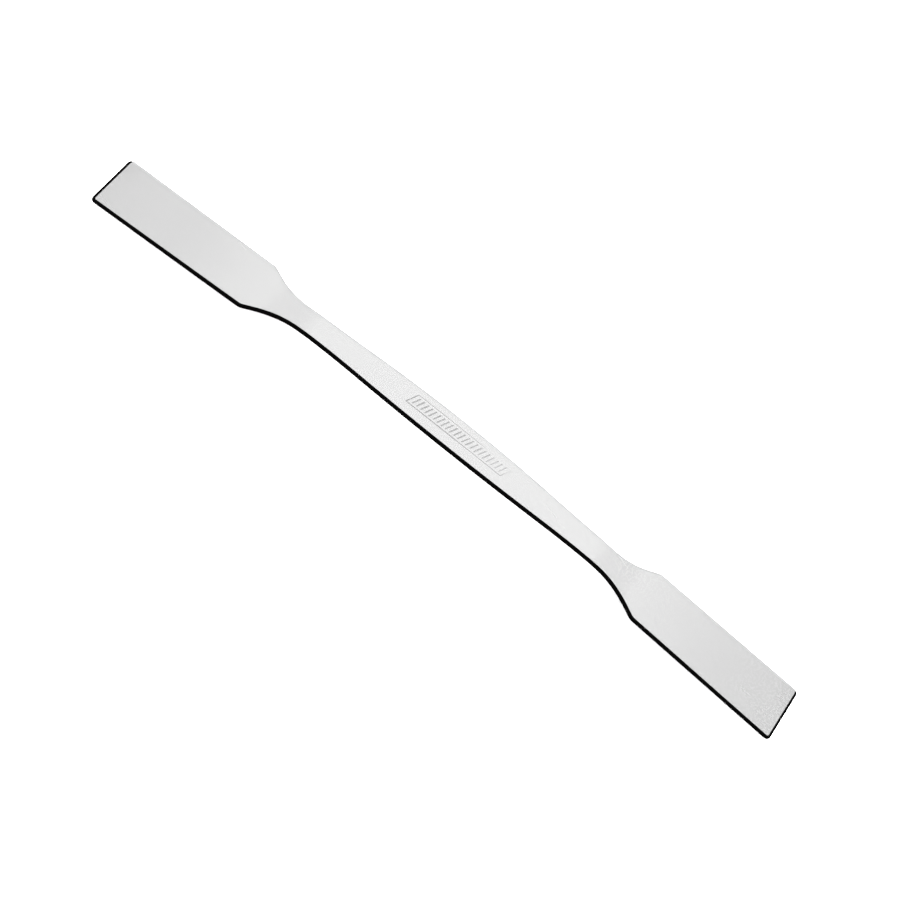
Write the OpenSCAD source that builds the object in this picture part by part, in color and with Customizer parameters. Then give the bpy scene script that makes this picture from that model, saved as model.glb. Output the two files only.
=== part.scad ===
// Double-ended lab spatula, cut from one piece of stainless sheet.
//
// Two flat rectangular blades are joined by a slim handle that swells a little
// at mid-length. The sheet is bowed, so the middle stands clear of the bench and
// the spatula rests on its two end edges. Every edge is rounded over.
//
// Frame: X runs along the length, Y across it, Z up through the convex face.
// The origin is under mid-length, on the surface that the end edges rest on.

/* [Length and widths] */
// Length of the flat blank, from end edge to end edge
overall_l = 150; // [120:1:220]
// Length of each blade, from its end edge to its shoulder
blade_l = 32; // [24:0.2:44]
// Width of a blade at its end edge
tip_w = 11.5; // [9:0.1:16]
// Width of a blade at its shoulder
shoulder_w = 11; // [9:0.1:16]
// Width of the neck, where the handle is narrowest
neck_w = 5.35; // [4:0.05:6.4]
// Width of the handle at mid-length
handle_w = 6.85; // [6.6:0.05:8.6]

/* [Curves of the outline] */
// Angle between a shoulder and the length of the spatula
shoulder_angle = 26; // [22:1:40]
// Radius of the hollow curve from the neck into the shoulder
shoulder_hollow_r = 17.3; // [10:0.1:20]
// Radius of the corner where the shoulder meets the blade
shoulder_corner_r = 2; // [1:0.5:5]
// Radius of the four outer corners, seen from above
tip_corner_r = 0.9; // [0.6:0.1:2]
// Share of the way to the neck at which the swell turns from full to hollow
swell_share = 0.6; // [0.4:0.05:0.75]

/* [Sheet and edges] */
// Thickness of the sheet
sheet_t = 0.8; // [0.6:0.05:1.5]
// Thickness of a blade at its end edge, where it is ground thinner
tip_t = 0.6; // [0.4:0.05:1]
// How far in from the outline the rounding of the edges reaches
edge_depth = 0.5; // [0.3:0.05:0.55]

/* [Bends] */
// Slope that the gentle bow of the handle has reached at the neck, in degrees
bow_slope = 2.7; // [0:0.1:4]
// Slope of the neck, in degrees
neck_slope = 8.9; // [5:0.1:12]
// Slope of the flat blades, in degrees
blade_slope = 4.8; // [3:0.1:8]
// Distance from the shoulder to the middle of the bend at the neck
neck_bend_at = 11.5; // [10:0.1:14]
// Distance from the shoulder to the middle of the bend back at the blade
blade_bend_at = 3.9; // [3:0.1:5]

/* [Hidden] */
half_l = overall_l / 2;
shoulder_x = half_l - blade_l;

// Lengths of sheet that the two bends take up.
neck_bend_l = 4.3;
blade_bend_l = 2.2;

// Greatest distance and greatest turn between neighbouring points of an outline curve.
point_step = 1;
turn_step = 12;

// Least difference kept between the hollow's radius and the largest that fits.
min_flat = 0.2;

// The rounding of an edge runs from the lower face to the upper one in this many facets.
edge_facets = 8;

steel = [0.80, 0.81, 0.82];

// ---- Outline of the blank -------------------------------------------------

function along(heading) = [cos(heading), sin(heading)];
function left_of(heading) = [-sin(heading), cos(heading)];
function heading_of(v) = atan2(v[1], v[0]);

// Points on an arc of radius r that rounds the corner between two straight runs.
// Each point is [x, y, heading], with the heading that the outline has there.
function rounded_corner(before, corner, after, r) =
    let (
        start_heading = heading_of(corner - before),
        turn = heading_of(after - corner) - start_heading,
        side = sign(turn),
        start = corner - r * tan(abs(turn) / 2) * along(start_heading),
        centre = start + side * r * left_of(start_heading),
        arc_l = r * abs(turn) * PI / 180,
        steps = max(ceil(arc_l / point_step), ceil(abs(turn) / turn_step))
    )
    [
        for (i = [0 : steps])
            let (
                heading = start_heading + turn * i / steps,
                p = centre - side * r * left_of(heading)
            )
            [p[0], p[1], heading]
    ];

// The corners of a quarter of the blank, before any is rounded.
shoulder_corner = [shoulder_x, shoulder_w / 2];
tip_corner = [half_l, tip_w / 2];
hollow_corner_x = shoulder_x - (shoulder_w - neck_w) / 2 / tan(shoulder_angle);
hollow_corner = [hollow_corner_x, neck_w / 2];

// The hollow takes no more of the sloping shoulder than the corner beyond it leaves.
slope_l = norm(shoulder_corner - hollow_corner);
slope_left = slope_l - shoulder_corner_r * tan(shoulder_angle / 2);
hollow_r = min(shoulder_hollow_r, slope_left / tan(shoulder_angle / 2) - min_flat);
neck_x = hollow_corner_x - hollow_r * tan(shoulder_angle / 2);

// The corners that the handle's swell bends round.
swell_corner = [swell_share * neck_x / 2, handle_w / 2];
waist_corner = [(1 + swell_share) * neck_x / 2, neck_w / 2];

// The swell of the handle is two arcs that run into each other on one sloping line.
swell_turn = atan2((handle_w - neck_w) / 2, neck_x / 2);
swell_r = swell_corner[0] / tan(swell_turn / 2);
waist_r = (neck_x - waist_corner[0]) / tan(swell_turn / 2);

// A quarter of the outline, from mid-length round the tip corner to the end edge.
quarter = concat(
    rounded_corner([0, handle_w / 2], swell_corner, waist_corner, swell_r),
    tail(rounded_corner(swell_corner, waist_corner, hollow_corner, waist_r)),
    tail(rounded_corner(waist_corner, hollow_corner, shoulder_corner, hollow_r)),
    rounded_corner(hollow_corner, shoulder_corner, tip_corner, shoulder_corner_r),
    rounded_corner(shoulder_corner, tip_corner, [half_l, 0], tip_corner_r)
);

function tail(list) = [for (i = [1 : len(list) - 1]) list[i]];
function reverse(list) = [for (i = [len(list) - 1 : -1 : 0]) list[i]];
function mirror_x(p) = [-p[0], p[1], -p[2]];
function mirror_y(p) = [p[0], -p[1], 180 - p[2]];

// One long side from end to end, then the whole outline, clockwise from above.
long_side = concat([for (p = reverse(tail(quarter))) mirror_x(p)], quarter);
outline = concat(long_side, [for (p = reverse(long_side)) mirror_y(p)]);

// ---- Bends of the sheet ---------------------------------------------------

// From mid-length outward the sheet is made of runs, each [length, turn downward].
neck_bend_x = shoulder_x - neck_bend_at - neck_bend_l / 2;
blade_bend_x = shoulder_x - blade_bend_at - blade_bend_l / 2;
runs = [
    [neck_bend_x, bow_slope],
    [neck_bend_l, neck_slope - bow_slope],
    [blade_bend_x - neck_bend_x - neck_bend_l, 0],
    [blade_bend_l, blade_slope - neck_slope],
    [half_l - blade_bend_x - blade_bend_l, 0]
];

// Place [x, z] and slope after going a distance d into a run that starts at a given slope.
function step_along(at, slope, run, d) =
    let (
        now = slope + run[1] * d / run[0],
        r = run[1] == 0 ? 0 : run[0] / (run[1] * PI / 180)
    )
    run[1] == 0
        ? [at + d * [cos(slope), -sin(slope)], slope]
        : [at + r * [sin(now) - sin(slope), cos(now) - cos(slope)], now];

// Place and slope of the middle of the sheet at a distance d from mid-length.
function centre_line(d, i = 0, at = [0, 0], slope = 0) =
    i == len(runs) - 1 || d <= runs[i][0]
        ? step_along(at, slope, runs[i], d)
        : let (end = step_along(at, slope, runs[i], runs[i][0]))
          centre_line(d - runs[i][0], i + 1, end[0], end[1]);

// The blank's point [x, y], raised by h from the middle of the sheet, once bent.
function bent(x, y, h) =
    let (
        side = x < 0 ? -1 : 1,
        line = centre_line(abs(x)),
        place = line[0] + h * [sin(line[1]), cos(line[1])]
    )
    [side * place[0], y, place[1]];

// Half the thickness at x: even along the handle, then thinning to the end edges.
function half_t(x) =
    let (share = max(0, abs(x) - shoulder_x) / blade_l)
    (sheet_t + (tip_t - sheet_t) * share) / 2;

// ---- Solid ----------------------------------------------------------------

// The rounding of the edge at one point of the outline, from lower face to upper.
function edge_points(p) =
    [
        for (j = [0 : edge_facets])
            let (
                angle = -90 + 180 * j / edge_facets,
                inset = edge_depth * (1 - cos(angle)),
                x = p[0] + inset * sin(p[2]),
                y = p[1] - inset * cos(p[2])
            )
            bent(x, y, half_t(x) * sin(angle))
    ];

raw_points = [for (p = outline) each edge_points(p)];
lowest = min([for (p = raw_points) p[2]]);
points = [for (p = raw_points) p - [0, 0, lowest]];

ring = edge_facets + 1;
side_n = len(long_side);
outline_n = len(outline);

// Two triangles for the patch a, b, c, d, clockwise from outside.
function patch(a, b, c, d) = [[a, b, c], [a, c, d]];

edge_faces = [
    for (i = [0 : outline_n - 1], j = [0 : edge_facets - 1])
        let (here = i * ring + j, next = ((i + 1) % outline_n) * ring + j)
        each patch(here, next, next + 1, here + 1)
];

// The two broad faces join each point of one long side to its twin on the other.
function broad_face(j) = [
    for (i = [0 : side_n - 2])
        let (
            here = i * ring + j,
            next = (i + 1) * ring + j,
            here_twin = (outline_n - 1 - i) * ring + j,
            next_twin = (outline_n - 2 - i) * ring + j
        )
        each j == 0
            ? patch(here, here_twin, next_twin, next)
            : patch(here, next, next_twin, here_twin)
];

module spatula() {
    color(steel)
        polyhedron(points, concat(edge_faces, broad_face(0), broad_face(edge_facets)));
}

spatula();
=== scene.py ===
# %% [markdown]
# # A double-ended lab spatula in satin stainless steel
#
# The real tool is one strip of stainless sheet, about 0.8 mm thick. It is blanked to a
# long outline with a flat blade at each end, bowed so that its middle stands clear of
# the bench, tumbled until its edges are round, and polished to a satin.
#
# It is built here the same way and in the same order: a flat blank, its outline, its
# rounded edges, the mark struck into the handle, the bends, and then the finish.
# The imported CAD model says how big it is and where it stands, so that is loaded first.

import math

import bmesh
import bpy
from mathutils import Matrix, Vector


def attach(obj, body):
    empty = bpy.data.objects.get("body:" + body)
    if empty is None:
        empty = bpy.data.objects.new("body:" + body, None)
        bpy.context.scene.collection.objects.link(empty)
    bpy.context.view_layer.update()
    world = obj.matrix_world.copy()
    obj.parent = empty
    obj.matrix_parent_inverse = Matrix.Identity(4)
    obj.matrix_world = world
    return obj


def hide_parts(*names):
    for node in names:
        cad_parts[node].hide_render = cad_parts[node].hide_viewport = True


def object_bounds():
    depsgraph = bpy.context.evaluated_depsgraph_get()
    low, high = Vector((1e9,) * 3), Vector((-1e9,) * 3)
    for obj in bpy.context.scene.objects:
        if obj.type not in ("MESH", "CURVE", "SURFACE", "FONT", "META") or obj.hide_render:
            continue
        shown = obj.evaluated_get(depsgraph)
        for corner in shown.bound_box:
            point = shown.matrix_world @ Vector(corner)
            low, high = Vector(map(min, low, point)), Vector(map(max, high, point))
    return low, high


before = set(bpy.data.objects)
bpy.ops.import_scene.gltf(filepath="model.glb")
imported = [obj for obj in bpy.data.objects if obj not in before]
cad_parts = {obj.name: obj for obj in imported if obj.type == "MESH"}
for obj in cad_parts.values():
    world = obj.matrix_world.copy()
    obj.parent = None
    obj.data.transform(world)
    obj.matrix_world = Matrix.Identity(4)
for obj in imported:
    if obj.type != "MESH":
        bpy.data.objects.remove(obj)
cad_low, cad_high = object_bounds()
cad_middle = (cad_low + cad_high) / 2
cad_size = cad_high - cad_low
MM = 0.001
# Two places closer than this count as one place.
SAME_PLACE = 0.01 * MM
MERGE_DISTANCE = 0.001 * MM
print("CAD box in mm:", [round(side / MM, 3) for side in cad_size])

# %% [markdown]
# ## Helpers
#
# Most modelling here is "choose some corners, edges or faces, then act on them", as it
# is by hand. So there is one helper that chooses by a test on each part, in edit mode.

# %% Choose parts of the mesh that is being edited
def choose(kind, wanted):
    """Leaves selected only those VERT, EDGE or FACE parts that wanted() accepts, and counts them."""
    bpy.ops.mesh.select_mode(type=kind)
    bpy.ops.mesh.select_all(action="DESELECT")
    mesh = bmesh.from_edit_mesh(bpy.context.edit_object.data)
    parts = {"VERT": mesh.verts, "EDGE": mesh.edges, "FACE": mesh.faces}[kind]
    chosen = [part for part in parts if wanted(part)]
    for part in chosen:
        part.select_set(True)
    mesh.select_flush_mode()
    bmesh.update_edit_mesh(bpy.context.edit_object.data)
    return len(chosen)


# %% [markdown]
# ## The blank
#
# On the real tool a press cuts the whole outline at once. It could be drawn as a curve
# and given a thickness, but a box that is cut across and then pulled in ring by ring
# keeps tidy four-sided faces, which bend and shade well. The box is made too thick for
# now, twice the depth of the edge rounding, so that the rounding can be a plain circle.

# %% Sizes of the flat blank
HALF_LENGTH = 75 * MM
BLADE_LENGTH = 32 * MM
SHOULDER_X = HALF_LENGTH - BLADE_LENGTH
TIP_HALF_WIDTH = 5.75 * MM
SHOULDER_HALF_WIDTH = 5.5 * MM
NECK_HALF_WIDTH = 2.675 * MM
HANDLE_HALF_WIDTH = 3.425 * MM
SHOULDER_ANGLE = math.radians(26)
HOLLOW_RADIUS = 17.3 * MM
SHOULDER_RADIUS = 2 * MM
TIP_RADIUS = 0.9 * MM
SWELL_SHARE = 0.6
EDGE_DEPTH = 0.57 * MM

hollow_x = SHOULDER_X - (SHOULDER_HALF_WIDTH - NECK_HALF_WIDTH) / math.tan(SHOULDER_ANGLE)
neck_x = hollow_x - HOLLOW_RADIUS * math.tan(SHOULDER_ANGLE / 2)
swell_x = SWELL_SHARE * neck_x / 2
waist_x = (1 + SWELL_SHARE) * neck_x / 2
swell_turn = math.atan2(HANDLE_HALF_WIDTH - NECK_HALF_WIDTH, neck_x / 2)
swell_radius = swell_x / math.tan(swell_turn / 2)
waist_radius = (neck_x - waist_x) / math.tan(swell_turn / 2)
# Each row is a corner of half the outline: its x, its y and the radius that rounds it.
OUTLINE = [
    (0, HANDLE_HALF_WIDTH, 0),
    (swell_x, HANDLE_HALF_WIDTH, swell_radius),
    (waist_x, NECK_HALF_WIDTH, waist_radius),
    (hollow_x, NECK_HALF_WIDTH, HOLLOW_RADIUS),
    (SHOULDER_X, SHOULDER_HALF_WIDTH, SHOULDER_RADIUS),
    (HALF_LENGTH, TIP_HALF_WIDTH, 0),
]
print("neck begins", round(neck_x / MM, 2), "mm from the middle")


# %% Half the blank's width at any place along it
def half_width(x):
    """How far the outline is from the centre line, at x from the middle."""
    x = abs(x)
    for before, corner, after in zip(OUTLINE, OUTLINE[1:], OUTLINE[2:]):
        heading_in = math.atan2(corner[1] - before[1], corner[0] - before[0])
        heading_out = math.atan2(after[1] - corner[1], after[0] - corner[0])
        reach = corner[2] * math.tan(abs(heading_out - heading_in) / 2)
        arc_start = corner[0] - reach * math.cos(heading_in)
        arc_end = corner[0] + reach * math.cos(heading_out)
        if x <= arc_start:
            return corner[1] - (corner[0] - x) * math.tan(heading_in)
        if x <= arc_end:
            side = 1 if heading_out > heading_in else -1
            centre_x = arc_start - side * corner[2] * math.sin(heading_in)
            centre_y = corner[1] - reach * math.sin(heading_in) + side * corner[2] * math.cos(heading_in)
            return centre_y - side * math.sqrt(corner[2] ** 2 - (x - centre_x) ** 2)
    return TIP_HALF_WIDTH - (HALF_LENGTH - x) * math.tan(heading_out)


for place in (0, 20, 33, 40, 43, 60, 75):
    print("half width at", place, "mm:", round(half_width(place * MM) / MM, 3))

# %% [markdown]
# The cuts lie close together where the outline or the sheet bends sharply, at the
# shoulders and at the neck, and further apart where it is nearly straight.

# %% Places of the cuts across the blank
CUT_SPANS = [
    (0, 29, 1.0),
    (29, 42.3, 0.5),
    (42.3, 43.7, 0.14),
    (43.7, 73.5, 3.0),
]
cuts = [0.0]
for span_start, span_end, spacing in CUT_SPANS:
    count = round((span_end - span_start) / spacing)
    cuts += [(span_start + (step + 1) * (span_end - span_start) / count) * MM for step in range(count)]
all_cuts = [-x for x in reversed(cuts[1:])] + cuts
print(len(all_cuts), "cuts across the blank")

# %% Add the blank, cut it across and give each cut its width
bpy.ops.object.select_all(action="DESELECT")
bpy.ops.mesh.primitive_cube_add(size=1, location=(0, 0, 0))
spatula = bpy.context.active_object
spatula.name = "spatula_steel"
bpy.ops.object.mode_set(mode="EDIT")
bpy.ops.transform.resize(value=(2 * HALF_LENGTH, 2 * TIP_HALF_WIDTH, 2 * EDGE_DEPTH))
for x in all_cuts:
    bpy.ops.mesh.select_all(action="SELECT")
    bpy.ops.mesh.bisect(plane_co=(x, 0, 0), plane_no=(1, 0, 0))
for x in all_cuts:
    choose("VERT", lambda corner: abs(corner.co.x - x) < SAME_PLACE)
    bpy.ops.transform.resize(
        value=(1, half_width(x) / TIP_HALF_WIDTH, 1),
        center_override=(x, 0, 0),
    )
print("blank has", len(bmesh.from_edit_mesh(spatula.data).faces), "faces")

# %% [markdown]
# ## Rounded corners and edges
#
# The four outer corners have a small radius, from the press tool. Tumbling has then
# rounded every edge right over, so that the side of the sheet is one full curve. Two
# bevels that meet at half thickness make that curve. They slide along the cuts, which
# keeps every ring of corners in one plane, ready for bending.
#
# The faces were ground last, which left a fine crisp line where they meet the rounding.
# So on top the bevel's profile is flatter than a circle, nearly a chamfer. Underneath,
# where the press tool rolled the edge over, it is a little fuller. Both lines are sharp.

# %% Round the four outer corners
TIP_SEGMENTS = 8
count = choose(
    "EDGE",
    lambda edge: all(abs(abs(end.co.x) - HALF_LENGTH) < SAME_PLACE for end in edge.verts)
    and abs(edge.verts[0].co.z - edge.verts[1].co.z) > EDGE_DEPTH,
)
bpy.ops.mesh.bevel(offset=TIP_RADIUS, segments=TIP_SEGMENTS, affect="EDGES", clamp_overlap=False)
print("rounded", count, "upright edges")

# %% Round the edges of the whole outline
EDGE_SEGMENTS = 5
TOP_PROFILE = 0.32
UNDER_PROFILE = 0.55


def borders_flat(edge, side):
    """True for an edge between the flat top (side 1) or underside (side -1) and an upright side."""
    heights = sorted(face.normal.z * side for face in edge.link_faces)
    return len(heights) == 2 and abs(heights[0]) < 0.5 and heights[1] > 0.5


for side, profile in ((1, TOP_PROFILE), (-1, UNDER_PROFILE)):
    count = choose("EDGE", lambda edge: borders_flat(edge, side))
    bpy.ops.mesh.bevel(
        offset=EDGE_DEPTH,
        segments=EDGE_SEGMENTS,
        profile=profile,
        affect="EDGES",
        clamp_overlap=False,
    )
    print("rounded", count, "edges on side", side)
bpy.ops.mesh.select_all(action="SELECT")
bpy.ops.mesh.remove_doubles(threshold=MERGE_DISTANCE)
count = choose(
    "EDGE",
    lambda edge: sorted(abs(face.normal.z) > 0.999 for face in edge.link_faces) == [False, True],
)
bpy.ops.mesh.mark_sharp()
print("marked", count, "edges sharp")

# %% [markdown]
# ## Thickness
#
# The finished sheet is 0.8 mm thick on the handle. The blades are ground a little
# thinner towards their ends, down to 0.6 mm. Each ring of corners is pressed flat to
# its own thickness, so that the rounding turns from a circle into the low oval curve
# that tumbling leaves on thin sheet.

# %% Press each ring to its thickness
HANDLE_HALF_THICKNESS = 0.4 * MM
TIP_HALF_THICKNESS = 0.3 * MM
# Places are compared in millimetres, rounded to three decimals.
PLACE_DECIMALS = 3
PLACE_MARGIN = 0.0006


def half_thickness(x):
    """Half of the sheet's thickness, at x from the middle."""
    share = min(max((abs(x) - SHOULDER_X) / BLADE_LENGTH, 0), 1)
    return HANDLE_HALF_THICKNESS + share * (TIP_HALF_THICKNESS - HANDLE_HALF_THICKNESS)


bpy.ops.mesh.select_all(action="SELECT")
bpy.ops.transform.resize(value=(1, 1, HANDLE_HALF_THICKNESS / EDGE_DEPTH), center_override=(0, 0, 0))
blade_places = sorted(
    {
        round(corner.co.x / MM, PLACE_DECIMALS)
        for corner in bmesh.from_edit_mesh(spatula.data).verts
        if abs(corner.co.x) > SHOULDER_X
    }
)
for place in blade_places:
    choose("VERT", lambda corner: abs(corner.co.x / MM - place) < PLACE_MARGIN)
    bpy.ops.transform.resize(
        value=(1, 1, half_thickness(place * MM) / HANDLE_HALF_THICKNESS),
        center_override=(0, 0, 0),
    )
print("ground the blades thinner at", len(blade_places), "places")
bpy.ops.object.mode_set(mode="OBJECT")

# %% [markdown]
# ## The struck mark
#
# A shallow mark is struck into the middle of the handle on the real tool. Here it is a
# plain slanted frame with an even hatch of short strokes in it, and it says nothing.
# It could be painted on as a bump, but then the printed or milled part would lose it.
# So the flat top is cut along the lines of the mark, and those lines are inset and
# pushed down, which gives each groove two sloping walls and a flat floor.

# %% Places of the lines of the mark
MARK_SLANT = math.tan(math.radians(24))
MARK_LEFT = -10.1 * MM
MARK_RIGHT = 10.5 * MM
MARK_LOW = -0.87 * MM
MARK_HIGH = 1.60 * MM
LINE_HALF_WIDTH = 0.10 * MM
HATCH_LOW = -0.46 * MM
HATCH_HIGH = 1.21 * MM
HATCH_COUNT = 22
STROKE_HALF_WIDTH = 0.14 * MM
WALL_WIDTH = 0.06 * MM
STRIKE_DEPTH = 0.036 * MM
# The grooves lie within the first pair of distances from the middle of the handle. The
# second pair is a little larger, and bounds the part of the top that is cut for them.
MARK_REACH = 13 * MM
MARK_SPREAD = 1.9 * MM
TOP_REACH = 14 * MM
TOP_SPREAD = 3 * MM

hatch_pitch = (MARK_RIGHT - MARK_LEFT) / (HATCH_COUNT + 1)
strokes = [MARK_LEFT + (number + 1) * hatch_pitch for number in range(HATCH_COUNT)]
print("hatch pitch", round(hatch_pitch / MM, 2), "mm")


def mark_place(face):
    """Where a face of the flat top lies, measured along the slanted lines of the mark."""
    middle = face.calc_center_median()
    return middle.x - middle.y * MARK_SLANT, middle.y


def on_top(face):
    """True for a face of the flat top near the mark."""
    middle = face.calc_center_median()
    return face.normal.z > 0.9 and abs(middle.x) < TOP_REACH and abs(middle.y) < TOP_SPREAD


# %% Cut the top along the mark and press the lines in
bpy.ops.object.mode_set(mode="EDIT")
long_cuts = [HATCH_LOW, HATCH_HIGH]
for line in (MARK_LOW, MARK_HIGH):
    long_cuts += [line - LINE_HALF_WIDTH, line + LINE_HALF_WIDTH]
for y in long_cuts:
    choose("FACE", on_top)
    bpy.ops.mesh.bisect(plane_co=(0, y, 0), plane_no=(0, 1, 0))


def cut_slanted(place, low, high):
    """Cuts the top across at a slant, between two heights of the mark."""
    choose("FACE", lambda face: on_top(face) and low < mark_place(face)[1] < high)
    bpy.ops.mesh.bisect(plane_co=(place, 0, 0), plane_no=(1, -MARK_SLANT, 0))


for end in (MARK_LEFT, MARK_RIGHT):
    for edge in (end - LINE_HALF_WIDTH, end + LINE_HALF_WIDTH):
        cut_slanted(edge, MARK_LOW - LINE_HALF_WIDTH, MARK_HIGH + LINE_HALF_WIDTH)
for stroke in strokes:
    for edge in (stroke - STROKE_HALF_WIDTH, stroke + STROKE_HALF_WIDTH):
        cut_slanted(edge, HATCH_LOW, HATCH_HIGH)


def in_mark(face):
    """True for a face that belongs to the frame or to a stroke of the hatch."""
    if not on_top(face):
        return False
    u, v = mark_place(face)
    outer = LINE_HALF_WIDTH
    in_outer = MARK_LEFT - outer < u < MARK_RIGHT + outer and MARK_LOW - outer < v < MARK_HIGH + outer
    in_inner = MARK_LEFT + outer < u < MARK_RIGHT - outer and MARK_LOW + outer < v < MARK_HIGH - outer
    in_hatch = HATCH_LOW < v < HATCH_HIGH
    in_stroke = in_hatch and any(abs(u - stroke) < STROKE_HALF_WIDTH for stroke in strokes)
    return in_stroke or (in_outer and not in_inner)


count = choose("FACE", in_mark)
bpy.ops.mesh.inset(thickness=WALL_WIDTH, depth=-STRIKE_DEPTH, use_boundary=True)
print("pressed in", count, "faces")

# %% [markdown]
# A hand-held stamp never strikes evenly. This one went in deepest at the lower left, so
# the floor of the grooves is lifted a little towards the right and along the top line.

# %% Lift the floor of the grooves where the stamp struck lightly
LIFT_STARTS = (1 * MM, 4 * MM, 7 * MM)
LIFT_STEP = 0.006 * MM
TOP_LINE_LIFT = 0.016 * MM
struck_floor = HANDLE_HALF_THICKNESS - STRIKE_DEPTH


def on_groove_floor(corner):
    """True for a corner on the floor of a groove, lifted or not."""
    return HANDLE_HALF_THICKNESS - SAME_PLACE > corner.co.z > struck_floor - MERGE_DISTANCE


for lift_start in LIFT_STARTS:
    choose(
        "VERT",
        lambda corner: on_groove_floor(corner)
        and lift_start < corner.co.x < MARK_REACH
        and abs(corner.co.y) < MARK_SPREAD,
    )
    bpy.ops.transform.translate(value=(0, 0, LIFT_STEP))
choose(
    "VERT",
    lambda corner: on_groove_floor(corner)
    and abs(corner.co.x) < MARK_REACH
    and MARK_HIGH - 2 * LINE_HALF_WIDTH < corner.co.y < MARK_HIGH + 2 * LINE_HALF_WIDTH,
)
bpy.ops.transform.translate(value=(0, 0, TOP_LINE_LIFT))

# %% Keep the borders of the grooves crisp
GROOVE_SPREAD = 2 * MM
GROOVE_BORDER_ANGLE = math.radians(6)


def beside_groove(face):
    """True for a face of the top near the mark, or a wall or floor of a groove."""
    return on_top(face) or abs(face.calc_center_median().y) < GROOVE_SPREAD


count = choose(
    "EDGE",
    lambda edge: all(beside_groove(face) for face in edge.link_faces)
    and all(end.co.z > 0 and abs(end.co.x) < MARK_REACH for end in edge.verts)
    and edge.calc_face_angle(0) > GROOVE_BORDER_ANGLE,
)
bpy.ops.mesh.mark_sharp()
print("marked", count, "edges of the grooves sharp")
bpy.ops.object.mode_set(mode="OBJECT")
print("mesh has", len(spatula.data.polygons), "faces")

# %% [markdown]
# ## Two masks for the finish
#
# The finish needs to know where the rounded edges and the grooves are. While the strip
# is still flat that is plain from each corner's height, so it is written down now, as
# two attributes that ride along when the strip is bent. The one for the edges is kept
# on the faces, because the rounding starts at a crisp line.

# %% Write the edge and groove masks
edge_mask = spatula.data.attributes.new("edge_round", "FLOAT", "FACE")
groove_mask = spatula.data.attributes.new("groove", "FLOAT", "POINT")


def in_mark_area(place):
    """True for a place on the handle's top, in or beside the mark."""
    return abs(place.x) < MARK_REACH and abs(place.y) < MARK_SPREAD


for face in spatula.data.polygons:
    rounded = abs(face.normal.z) < 0.99 and not in_mark_area(face.center)
    edge_mask.data[face.index].value = 1 if rounded else 0
for corner in spatula.data.vertices:
    drop = half_thickness(corner.co.x) - abs(corner.co.z)
    groove_mask.data[corner.index].value = drop / STRIKE_DEPTH if in_mark_area(corner.co) else 0
print("masks on", len(spatula.data.vertices), "corners")

# %% [markdown]
# ## The bends
#
# The strip has a long gentle bow, one bend down at each neck, and one bend back where
# each blade begins. A Simple Deform modifier bends by one even arc, which this isn't.
# So the strip is bent as in a press brake: everything beyond a cut is turned about that
# cut by the little angle that belongs there. Working from the tips inwards, each cut is
# still lying flat when its turn comes, so its place is known.

# %% Slope of the strip at any place along it
# Each row is a length of strip and how much further down it slopes by its end.
BENDS = [
    (29.35 * MM, 2.7),
    (4.3 * MM, 6.2),
    (4.35 * MM, 0),
    (2.2 * MM, -4.1),
    (34.8 * MM, 0),
]


def slope_at(x):
    """Downward slope of the strip, in degrees, at x along the flat blank."""
    slope = 0
    run_start = 0
    for run, turn in BENDS:
        slope += turn * min(max((x - run_start) / run, 0), 1)
        run_start += run
    return slope


print("slopes at 0, 20, 36 and 60 mm:", [round(slope_at(x * MM), 2) for x in (0, 20, 36, 60)])

# %% Bend both halves, from the tips inwards
bpy.ops.object.mode_set(mode="EDIT")
stations = cuts + [HALF_LENGTH]
for number in range(len(cuts) - 1, -1, -1):
    here = stations[number]
    after = slope_at((here + stations[number + 1]) / 2)
    before = slope_at((here + stations[number - 1]) / 2) if number else 0
    if abs(after - before) < 1e-6:
        continue
    nearest = here - SAME_PLACE if number else SAME_PLACE
    for side in (1, -1):
        choose("VERT", lambda corner: corner.co.x * side > nearest)
        bpy.ops.transform.rotate(
            value=-side * math.radians(after - before),
            orient_axis="Y",
            center_override=(side * here, 0, 0),
        )
bpy.ops.object.mode_set(mode="OBJECT")


def own_box(piece):
    """Lowest and highest corner of a piece's mesh."""
    places = [corner.co for corner in piece.data.vertices]
    low = Vector(min(place[axis] for place in places) for axis in range(3))
    high = Vector(max(place[axis] for place in places) for axis in range(3))
    return low, high


low, high = own_box(spatula)
print("bent strip in mm:", [round(side / MM, 3) for side in high - low])

# %% Stand it on its end edges, inside the CAD box
bpy.ops.object.mode_set(mode="EDIT")
bpy.ops.mesh.select_all(action="SELECT")
fit = [min(1, cad_side / side) for cad_side, side in zip(cad_size, high - low)]
bpy.ops.transform.resize(value=fit, center_override=(low + high) / 2)
stand = cad_middle - (low + high) / 2
stand.z = cad_low.z - ((low.z + high.z) / 2 - fit[2] * (high.z - low.z) / 2)
bpy.ops.transform.translate(value=stand)
bpy.ops.mesh.normals_make_consistent(inside=False)
bpy.ops.object.mode_set(mode="OBJECT")
print("fitted by", [round(share, 5) for share in fit])

# %% [markdown]
# ## Shading
#
# The broad faces are flat and the edges are round. Smooth shading alone would let the
# round edges drag the light across the flats, so a Weighted Normal modifier gives the
# large faces the say over the corners that they share.

# %% Smooth shading that keeps the flats flat
SMOOTH_ANGLE = math.radians(35)
LARGE_FACE_WEIGHT = 60
bpy.ops.object.select_all(action="DESELECT")
spatula.select_set(True)
bpy.context.view_layer.objects.active = spatula
bpy.ops.object.shade_smooth_by_angle(angle=SMOOTH_ANGLE)
weighted = spatula.modifiers.new("flat_faces_lead", "WEIGHTED_NORMAL")
weighted.mode = "FACE_AREA"
weighted.weight = LARGE_FACE_WEIGHT
weighted.keep_sharp = True
bpy.ops.object.modifier_apply(modifier=weighted.name)
print("sharp edges:", sum(edge.use_edge_sharp for edge in spatula.data.edges))

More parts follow.
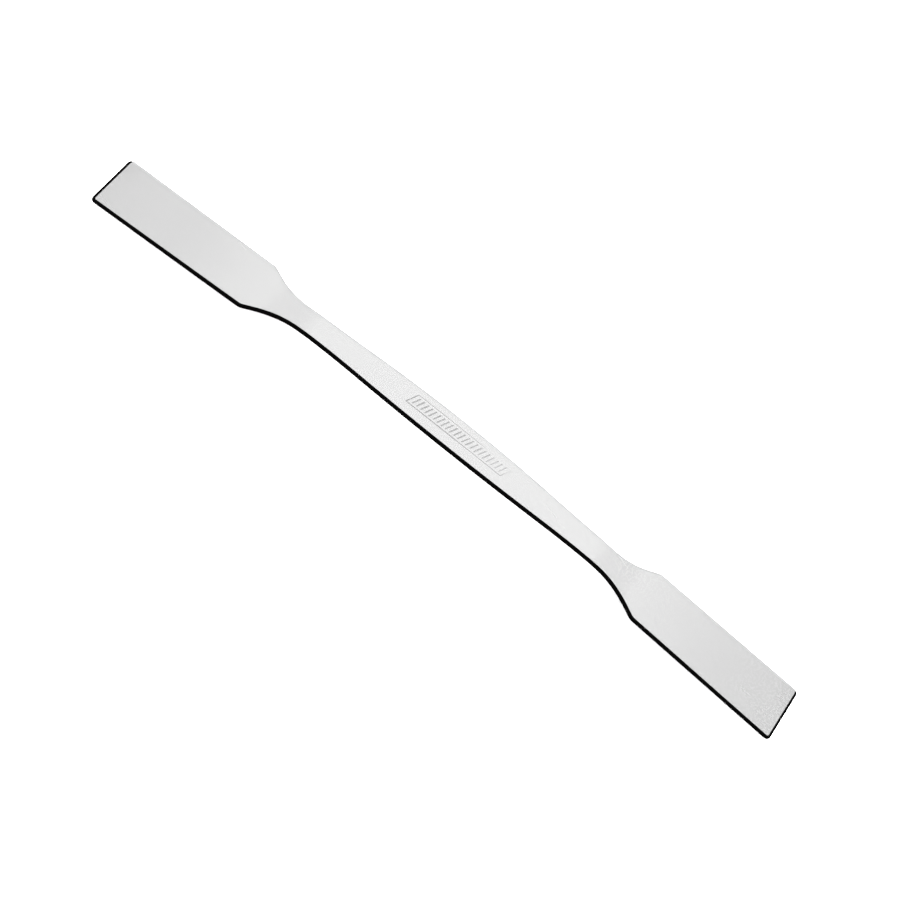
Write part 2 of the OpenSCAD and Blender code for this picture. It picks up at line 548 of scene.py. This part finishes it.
# %% The piece takes the CAD node's place
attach(spatula, "root")
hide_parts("spatula")

# %% [markdown]
# ## The finish
#
# Satin stainless is a bright neutral grey with a soft shine. Up close it shows fine
# polishing lines along the strip. Use has left a few hairline scratches and faint
# cloudy smudges at the tips, which do the work. The blades and the +Y corner of each
# tip also get painted shade, a darker colour towards the tips. These are made in node
# groups, so that each can be tried alone and used in another finish.

# %% Small helpers for building node groups
def new_group(name, inputs, outputs):
    """A shader node group with named sockets. Returns the group with its two end nodes."""
    group = bpy.data.node_groups.new(name, "ShaderNodeTree")
    for title, kind in inputs:
        group.interface.new_socket(name=title, in_out="INPUT", socket_type=kind)
    for title, kind in outputs:
        group.interface.new_socket(name=title, in_out="OUTPUT", socket_type=kind)
    start = group.nodes.new("NodeGroupInput")
    end = group.nodes.new("NodeGroupOutput")
    return group, start, end


def add_node(tree, kind, **settings):
    """A node of one kind, with its settings."""
    node = tree.nodes.new(kind)
    for name, value in settings.items():
        setattr(node, name, value)
    return node


def stretched_noise(tree, vector, stretch, detail, offset=(0, 0, 0)):
    """Noise that is finer along one axis than another. stretch is in waves per metre."""
    mapping = add_node(tree, "ShaderNodeMapping")
    mapping.inputs["Scale"].default_value = stretch
    mapping.inputs["Location"].default_value = offset
    noise = add_node(tree, "ShaderNodeTexNoise")
    noise.inputs["Scale"].default_value = 1
    noise.inputs["Detail"].default_value = detail
    tree.links.new(vector, mapping.inputs["Vector"])
    tree.links.new(mapping.outputs["Vector"], noise.inputs["Vector"])
    return noise.outputs["Fac"]


def put(tree, value, socket):
    """Links another node's output to a socket, or sets the socket to a plain value."""
    if isinstance(value, bpy.types.NodeSocket):
        tree.links.new(value, socket)
    else:
        socket.default_value = value


def ramp(tree, value, start, end, low=0, high=1):
    """Maps value from start..end to low..high, held at both ends."""
    node = add_node(tree, "ShaderNodeMapRange", interpolation_type="SMOOTHSTEP")
    put(tree, value, node.inputs["Value"])
    put(tree, start, node.inputs["From Min"])
    put(tree, end, node.inputs["From Max"])
    put(tree, low, node.inputs["To Min"])
    put(tree, high, node.inputs["To Max"])
    return node.outputs["Result"]


def maths(tree, operation, first, second):
    """One sum, with a socket or a plain number on each side."""
    node = add_node(tree, "ShaderNodeMath", operation=operation)
    put(tree, first, node.inputs[0])
    put(tree, second, node.inputs[1])
    return node.outputs["Value"]


# Noise seldom leaves this range, so a ramp over it uses nearly all of its own range.
NOISE_LOW = 0.3
NOISE_HIGH = 0.7

# %% Group: polishing lines and cloudy patches
LINE_WAVES = (160, 9000, 9000)
CLOUD_WAVES = (90, 160, 160)

grain_group, start, end = new_group(
    "polishing_grain",
    [("Vector", "NodeSocketVector")],
    [("Lines", "NodeSocketFloat"), ("Clouds", "NodeSocketFloat")],
)
place = start.outputs["Vector"]
lines = stretched_noise(grain_group, place, LINE_WAVES, detail=3)
clouds = stretched_noise(grain_group, place, CLOUD_WAVES, detail=3, offset=(3, 7, 1))
grain_group.links.new(lines, end.inputs["Lines"])
grain_group.links.new(clouds, end.inputs["Clouds"])
print("group", grain_group.name)

# %% Group: hairline scratches, smudges at the tips, and painted shade on the blades and tip corners
SCRATCH_WAVES = (55, 2600, 300)
SCRATCH_TURN = math.radians(14)
SCRATCH_START = 0.70
SCRATCH_END = 0.74
BLOTCH_WAVES = (260, 300, 300)
BLOTCH_LOW = 0.60
# Painted shade darkens the +Y corner of each tip. These say where it begins and ends.
CORNER_SHADE_START_X = HALF_LENGTH - 5.5 * MM
CORNER_SHADE_START_Y = -1.0 * MM
CORNER_SHADE_END_Y = 5.6 * MM
CORNER_SHADE_STRENGTH = 1.4

use_and_shade_group, start, end = new_group(
    "use_marks_and_painted_shade",
    [
        ("Vector", "NodeSocketVector"),
        ("Blade Start", "NodeSocketFloat"),
        ("Tip Start", "NodeSocketFloat"),
        ("Tip End", "NodeSocketFloat"),
    ],
    [
        ("Scratches", "NodeSocketFloat"),
        ("Smudges And Shade", "NodeSocketFloat"),
        ("Blade Shade", "NodeSocketFloat"),
    ],
)
place = start.outputs["Vector"]
tilted = add_node(use_and_shade_group, "ShaderNodeVectorRotate", rotation_type="Z_AXIS")
tilted.inputs["Angle"].default_value = SCRATCH_TURN
use_and_shade_group.links.new(place, tilted.inputs["Vector"])
hairlines = stretched_noise(
    use_and_shade_group, tilted.outputs["Vector"], SCRATCH_WAVES, detail=1, offset=(5, 0, 2)
)
scratches = ramp(use_and_shade_group, hairlines, SCRATCH_START, SCRATCH_END)
split = add_node(use_and_shade_group, "ShaderNodeSeparateXYZ")
use_and_shade_group.links.new(place, split.inputs["Vector"])
from_middle = maths(use_and_shade_group, "ABSOLUTE", split.outputs["X"], 0)
near_tip = ramp(use_and_shade_group, from_middle, start.outputs["Tip Start"], start.outputs["Tip End"])
blotches = stretched_noise(use_and_shade_group, place, BLOTCH_WAVES, detail=4, offset=(2, 9, 4))
blotches = ramp(use_and_shade_group, blotches, NOISE_LOW, NOISE_HIGH, BLOTCH_LOW, 1)
smudges_and_shade = maths(use_and_shade_group, "MULTIPLY", near_tip, blotches)
# Painted shade: a darker patch towards the +Y corner of each tip, added to the smudges.
corner_shade_ends = ramp(use_and_shade_group, from_middle, CORNER_SHADE_START_X, HALF_LENGTH)
corner_shade_sides = ramp(use_and_shade_group, split.outputs["Y"], CORNER_SHADE_START_Y, CORNER_SHADE_END_Y)
corner_shade = maths(use_and_shade_group, "MULTIPLY", corner_shade_ends, corner_shade_sides)
corner_shade = maths(use_and_shade_group, "MULTIPLY", corner_shade, CORNER_SHADE_STRENGTH)
smudges_and_shade = maths(use_and_shade_group, "ADD", smudges_and_shade, corner_shade)
# Painted shade: the colour darkens from each shoulder towards the tip, along the blade.
blade_shade = ramp(use_and_shade_group, from_middle, start.outputs["Blade Start"], start.outputs["Tip Start"])
use_and_shade_group.links.new(blade_shade, end.inputs["Blade Shade"])
use_and_shade_group.links.new(scratches, end.inputs["Scratches"])
use_and_shade_group.links.new(smudges_and_shade, end.inputs["Smudges And Shade"])
print("group", use_and_shade_group.name)

# %% Group: where the tumbled edge and the grooves are, with uneven strength
UNEVEN_WAVES = (700, 900, 900)
LEAST_STRENGTH = 0.85
GROOVE_START = 0.05
GROOVE_FULL = 0.80

edge_group, start, end = new_group(
    "rounded_edges_and_grooves",
    [("Vector", "NodeSocketVector"), ("Edge", "NodeSocketFloat"), ("Groove", "NodeSocketFloat")],
    [("Edge", "NodeSocketFloat"), ("Groove", "NodeSocketFloat")],
)
uneven = stretched_noise(edge_group, start.outputs["Vector"], UNEVEN_WAVES, detail=2)
strength = ramp(edge_group, uneven, NOISE_LOW, NOISE_HIGH, LEAST_STRENGTH, 1)
edge_value = maths(edge_group, "MULTIPLY", start.outputs["Edge"], strength)
edge_group.links.new(edge_value, end.inputs["Edge"])
groove_value = ramp(edge_group, start.outputs["Groove"], GROOVE_START, GROOVE_FULL)
groove_value = maths(edge_group, "MULTIPLY", groove_value, strength)
edge_group.links.new(groove_value, end.inputs["Groove"])
print("group", edge_group.name)

# %% [markdown]
# The metal itself is one Principled shader. A satin face is a fine matt haze over a
# mirror. The mirror is the metallic part, and a small share that isn't metallic gives
# the haze, so that the face never goes black from the side. The rounded edges come out
# of the tumbling barrel smoother, as a clean mirror with no haze, and their darker grey
# is partly tumbled steel and partly a painted dark reflection. The grooves hold a
# little of the dark polishing paste.

# %% Satin stainless steel
FACE_GREY = (0.80, 0.80, 0.80, 1)
SMUDGE_AND_SHADE_GREY = (0.60, 0.60, 0.60, 1)
# The rounded edges' darker grey is partly tumbled steel and partly a painted dark reflection.
EDGE_GREY = (0.42, 0.42, 0.42, 1)
GROOVE_GREY = (0.52, 0.52, 0.52, 1)
HAZE = 0.10
# Share of a blade's length, from its shoulder, at which the smudged tip begins and the painted shade on
# the blade is full.
TIP_SHARE = 0.6

steel = bpy.data.materials.new("satin_stainless")
steel.use_nodes = True
tree = steel.node_tree
tree.nodes.clear()
output = add_node(tree, "ShaderNodeOutputMaterial")
metal = add_node(tree, "ShaderNodeBsdfPrincipled")
tree.links.new(metal.outputs["BSDF"], output.inputs["Surface"])
where = add_node(tree, "ShaderNodeTexCoord").outputs["Object"]
edge_attribute = add_node(tree, "ShaderNodeAttribute", attribute_name="edge_round")
groove_attribute = add_node(tree, "ShaderNodeAttribute", attribute_name="groove")

grain = add_node(tree, "ShaderNodeGroup", node_tree=grain_group)
use_and_shade = add_node(tree, "ShaderNodeGroup", node_tree=use_and_shade_group)
borders = add_node(tree, "ShaderNodeGroup", node_tree=edge_group)
for group_node in (grain, use_and_shade, borders):
    tree.links.new(where, group_node.inputs["Vector"])
use_and_shade.inputs["Blade Start"].default_value = SHOULDER_X
use_and_shade.inputs["Tip Start"].default_value = SHOULDER_X + TIP_SHARE * BLADE_LENGTH
use_and_shade.inputs["Tip End"].default_value = HALF_LENGTH
tree.links.new(edge_attribute.outputs["Fac"], borders.inputs["Edge"])
tree.links.new(groove_attribute.outputs["Fac"], borders.inputs["Groove"])


def blend_colour(tree, share, first, second):
    """Mixes two colours, each a socket or a plain colour, by share."""
    # The Mix node has sockets for every kind of value, and these are its colour ones.
    first_colour = 6
    second_colour = 7
    mixed_colour = 2
    node = add_node(tree, "ShaderNodeMix", data_type="RGBA")
    tree.links.new(share, node.inputs["Factor"])
    put(tree, first, node.inputs[first_colour])
    put(tree, second, node.inputs[second_colour])
    return node.outputs[mixed_colour]


# %% Colour: smudges and painted shade, then the grooves, then the rounded edges
# The colour goes darker with the smudges and with the painted shade on the blades and tip corners.
SMUDGE_AND_SHADE_DARKENING = 0.15
BLADE_SHADE_DARKENING = 0.28

smudge_and_shade_share = maths(tree, "MULTIPLY", use_and_shade.outputs["Smudges And Shade"], SMUDGE_AND_SHADE_DARKENING)
blade_shade_share = maths(tree, "MULTIPLY", use_and_shade.outputs["Blade Shade"], BLADE_SHADE_DARKENING)
smudge_and_shade_share = maths(tree, "ADD", smudge_and_shade_share, blade_shade_share)
colour = blend_colour(tree, smudge_and_shade_share, FACE_GREY, SMUDGE_AND_SHADE_GREY)
colour = blend_colour(tree, borders.outputs["Groove"], colour, GROOVE_GREY)
# Rounded edges: darker grey, partly tumbled steel and partly a painted dark reflection.
colour = blend_colour(tree, borders.outputs["Edge"], colour, EDGE_GREY)
tree.links.new(colour, metal.inputs["Base Color"])

# %% Shine: how much is mirror, and how rough it is
FULL_MIRROR_EDGE = 0.8
SMOOTHEST = 0.19
ROUGHEST = 0.25
LINE_ROUGHNESS = 0.02
MARK_ROUGHNESS = 0.03
EDGE_SMOOTHING = 0.08

mirror_share = ramp(tree, borders.outputs["Edge"], 0, FULL_MIRROR_EDGE, 1 - HAZE, 1)
tree.links.new(mirror_share, metal.inputs["Metallic"])

roughness = ramp(tree, grain.outputs["Clouds"], NOISE_LOW, NOISE_HIGH, SMOOTHEST, ROUGHEST)
line_share = ramp(
    tree, grain.outputs["Lines"], NOISE_LOW, NOISE_HIGH, -LINE_ROUGHNESS, LINE_ROUGHNESS
)
roughness = maths(tree, "ADD", roughness, line_share)
for roughening_output in ("Scratches", "Smudges And Shade"):
    roughening_share = maths(tree, "MULTIPLY", use_and_shade.outputs[roughening_output], MARK_ROUGHNESS)
    roughness = maths(tree, "ADD", roughness, roughening_share)
edge_share = maths(tree, "MULTIPLY", borders.outputs["Edge"], EDGE_SMOOTHING)
roughness = maths(tree, "SUBTRACT", roughness, edge_share)
tree.links.new(roughness, metal.inputs["Roughness"])

# %% Fine relief: polishing lines and scratches
LINE_RELIEF = 0.25
SCRATCH_RELIEF = 0.05
RELIEF_HEIGHT = 0.002 * MM

surface = maths(tree, "MULTIPLY", grain.outputs["Lines"], LINE_RELIEF)
scratch_share = maths(tree, "MULTIPLY", use_and_shade.outputs["Scratches"], SCRATCH_RELIEF)
surface = maths(tree, "SUBTRACT", surface, scratch_share)
bump = add_node(tree, "ShaderNodeBump")
bump.inputs["Strength"].default_value = 1
bump.inputs["Distance"].default_value = RELIEF_HEIGHT
tree.links.new(surface, bump.inputs["Height"])
tree.links.new(bump.outputs["Normal"], metal.inputs["Normal"])

spatula.data.materials.clear()
spatula.data.materials.append(steel)
print("steel has", len(tree.nodes), "nodes")

# %% [markdown]
# ## The stage
#
# The spatula lies on a plain pale floor. Polished metal shows its surroundings more
# than itself, so the lights are chosen for what the steel will mirror: a large softbox
# overhead and behind for the broad faces, a smaller one that brightens their middle,
# and one low at the back for the far edges. There is nothing on the near side, which
# leaves the rounded near edges dark and crisp.
#
# Two wide suns fill in what is matt. One whitens the floor. The other shines up from
# below, so that the underside isn't black. The steel doesn't mirror either of them. The
# floor is clear from below and casts no shadow, or it would hold the second one off.

# %% Floor
FLOOR_GREY = (0.9, 0.9, 0.9, 1)
FLOOR_SIZE = 60

floor_material = bpy.data.materials.new("pale_floor")
floor_material.use_nodes = True
tree = floor_material.node_tree
tree.nodes.clear()
output = add_node(tree, "ShaderNodeOutputMaterial")
matt = add_node(tree, "ShaderNodeBsdfDiffuse")
matt.inputs["Color"].default_value = FLOOR_GREY
clear = add_node(tree, "ShaderNodeBsdfTransparent")
mix = add_node(tree, "ShaderNodeMixShader")
below = add_node(tree, "ShaderNodeNewGeometry")
tree.links.new(below.outputs["Backfacing"], mix.inputs["Fac"])
tree.links.new(matt.outputs["BSDF"], mix.inputs[1])
tree.links.new(clear.outputs["BSDF"], mix.inputs[2])
tree.links.new(mix.outputs["Shader"], output.inputs["Surface"])

bpy.ops.mesh.primitive_plane_add(size=FLOOR_SIZE, location=(0, 0, cad_low.z))
floor = bpy.context.active_object
floor.name = "floor"
floor.data.materials.append(floor_material)
floor.visible_glossy = False
floor.visible_shadow = False


# %% Soft lights
def soft_light(name, across, tilt, distance, size, brightness):
    """A softbox that faces the spatula. tilt is from straight up towards +Y, across towards +X."""
    direction = Vector(
        (math.sin(across), math.sin(tilt) * math.cos(across), math.cos(tilt) * math.cos(across))
    )
    bpy.ops.object.light_add(type="AREA", location=cad_middle + direction * distance)
    lamp = bpy.context.active_object
    lamp.name = name
    lamp.rotation_euler = direction.to_track_quat("Z", "Y").to_euler()
    lamp.data.shape = "RECTANGLE"
    lamp.data.size = size[0]
    lamp.data.size_y = size[1]
    lamp.data.energy = brightness * math.pi * size[0] * size[1]
    lamp.visible_camera = False
    return lamp


OVERHEAD_TILT = math.radians(40)
BEHIND_TILT = math.radians(96)
soft_light("overhead", 0, OVERHEAD_TILT, distance=0.60, size=(1.06, 0.52), brightness=0.56)
soft_light("overhead_middle", 0, OVERHEAD_TILT, distance=0.58, size=(0.40, 0.50), brightness=0.14)
soft_light("behind", 0, BEHIND_TILT, distance=0.60, size=(0.90, 0.80), brightness=1.50)

# %% Even fills for what is matt
FILL_SPREAD = math.radians(120)


def even_fill(name, turned, brightness):
    """A wide, soft sun for matt surfaces, turned from straight down. No mirror shows it."""
    bpy.ops.object.light_add(type="SUN", location=(0, 0, 1), rotation=(turned, 0, 0))
    lamp = bpy.context.active_object
    lamp.name = name
    lamp.data.energy = brightness
    lamp.data.angle = FILL_SPREAD
    lamp.visible_glossy = False
    return lamp


even_fill("floor_fill", 0, brightness=12)
even_fill("underside_fill", math.pi, brightness=8)

# %% World: white to the camera, nearly dark to the steel
DARK_GREY = (0.006, 0.006, 0.006, 1)
WHITE = (1, 1, 1, 1)

world = bpy.data.worlds.new("studio")
bpy.context.scene.world = world
world.use_nodes = True
tree = world.node_tree
tree.nodes.clear()
output = add_node(tree, "ShaderNodeOutputWorld")
dark = add_node(tree, "ShaderNodeBackground")
dark.inputs["Color"].default_value = DARK_GREY
white = add_node(tree, "ShaderNodeBackground")
white.inputs["Color"].default_value = WHITE
path = add_node(tree, "ShaderNodeLightPath")
mix = add_node(tree, "ShaderNodeMixShader")
tree.links.new(path.outputs["Is Camera Ray"], mix.inputs["Fac"])
tree.links.new(dark.outputs["Background"], mix.inputs[1])
tree.links.new(white.outputs["Background"], mix.inputs[2])
tree.links.new(mix.outputs["Shader"], output.inputs["Surface"])
bpy.context.scene.view_settings.view_transform = "Standard"

# %% [markdown]
# ## The camera
#
# The camera looks down at 60 degrees from the near side, through a long lens, and is
# rolled so that the strip runs from the upper left to the lower right.

# %% Camera
CAMERA_TILT = math.radians(30)
CAMERA_ROLL = math.radians(38.61)
CAMERA_DISTANCE = 346.7 * MM
LENS = 80.75
# The camera looks a little to the side of the middle of the CAD box.
AIM_OFFSET = Vector((0.66, -1.97, 0.93)) * MM
aim = cad_middle + AIM_OFFSET

back = Vector((0, -math.sin(CAMERA_TILT), math.cos(CAMERA_TILT)))
level_up = Vector((0, math.cos(CAMERA_TILT), math.sin(CAMERA_TILT)))
level_right = Vector((1, 0, 0))
right = math.cos(CAMERA_ROLL) * level_right + math.sin(CAMERA_ROLL) * level_up
up = math.cos(CAMERA_ROLL) * level_up - math.sin(CAMERA_ROLL) * level_right
bpy.ops.object.camera_add()
camera = bpy.context.active_object
camera.name = "camera"
camera.data.lens = LENS
camera.data.clip_start = 10 * MM
camera.data.clip_end = 100
turn = Matrix((right, up, back)).transposed().to_4x4()
camera.matrix_world = Matrix.Translation(aim + back * CAMERA_DISTANCE) @ turn
bpy.context.scene.camera = camera
print("camera is", round(CAMERA_DISTANCE / MM, 1), "mm away")
